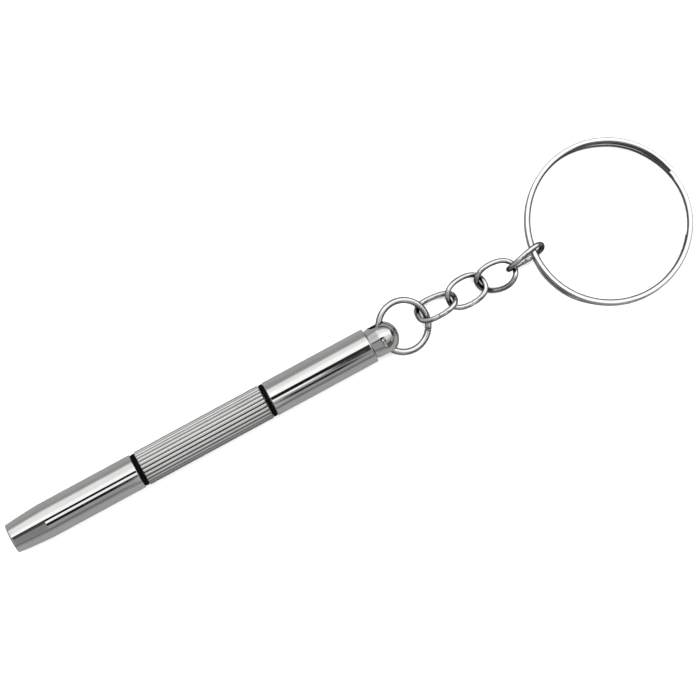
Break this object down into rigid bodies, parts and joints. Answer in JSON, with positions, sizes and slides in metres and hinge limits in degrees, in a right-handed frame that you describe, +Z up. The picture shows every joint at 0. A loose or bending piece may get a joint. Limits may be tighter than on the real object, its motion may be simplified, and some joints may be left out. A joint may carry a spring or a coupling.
{
  "type": "keychain eyeglass screwdriver",
  "caption": "Chromed pocket screwdriver with a ribbed grip between screw caps that cover its blades, hung from a split key ring by a short curb chain.",
  "frame": {"origin": "middle of the bounding box at the level the part lies on", "axes": "+X along the tool from the nose to the key ring, +Z up from the surface it lies on"},
  "size_m": [0.1256, 0.028, 0.006],
  "materials": {
    "chrome": "bright chrome plate on turned metal",
    "nickel": "bright nickel plate on drawn wire",
    "steel": "ground tool steel",
    "rubber": "matt black rubber"
  },
  "bodies": {
    "handle": {"grip": "chrome", "front_seal": "rubber", "rear_seal": "rubber", "cross_blade": "steel", "flat_blade": "steel"},
    "front_cap": {"front_cap": "chrome"},
    "rear_cap": {"rear_cap": "chrome", "ball_end": "chrome"},
    "jump_ring": {"jump_ring": "nickel"},
    "chain_link_1": {"chain_link_1": "nickel"},
    "chain_link_2": {"chain_link_2": "nickel"},
    "chain_link_3": {"chain_link_3": "nickel"},
    "chain_link_4": {"chain_link_4": "nickel"},
    "split_ring": {"split_ring": "nickel"}
  },
  "joints": [
    {"name": "front_cap_pull", "type": "slide", "parent": "handle", "child": "front_cap", "axis": [-1, 0, 0], "range_m": [0, 0.018]},
    {"name": "rear_cap_pull", "type": "slide", "parent": "handle", "child": "rear_cap", "axis": [1, 0, 0], "range_m": [0, 0.016]},
    {"name": "jump_ring_swing", "type": "hinge", "parent": "rear_cap", "child": "jump_ring", "pos_m": [0.0064, 0.00074, 0.003], "axis": [0, -0.9703, -0.2419], "range_deg": [-75, 75]},
    {"name": "chain_link_1_swing", "type": "hinge", "parent": "jump_ring", "child": "chain_link_1", "pos_m": [0.01476, 0.00139, 0.00164], "axis": [-0.069, 0.965, 0.253], "range_deg": [-60, 60]},
    {"name": "chain_link_2_swing", "type": "hinge", "parent": "chain_link_1", "child": "chain_link_2", "pos_m": [0.02021, 0.00099, 0.00248], "axis": [0.127, 0.7009, -0.7019], "range_deg": [-60, 60]},
    {"name": "chain_link_3_swing", "type": "hinge", "parent": "chain_link_2", "child": "chain_link_3", "pos_m": [0.02583, 0.00121, 0.00139], "axis": [0.07, -0.9685, 0.2389], "range_deg": [-35, 60]},
    {"name": "chain_link_4_swing", "type": "hinge", "parent": "chain_link_3", "child": "chain_link_4", "pos_m": [0.03137, 0.00083, 0.00286], "axis": [0.213, 0.901, -0.378], "range_deg": [-60, 60]},
    {"name": "split_ring_swing", "type": "hinge", "parent": "chain_link_4", "child": "split_ring", "pos_m": [0.03535, 0.00145, 0.00266], "axis": [-0.106, -0.9944, 0], "range_deg": [-90, 90]}
  ]
}
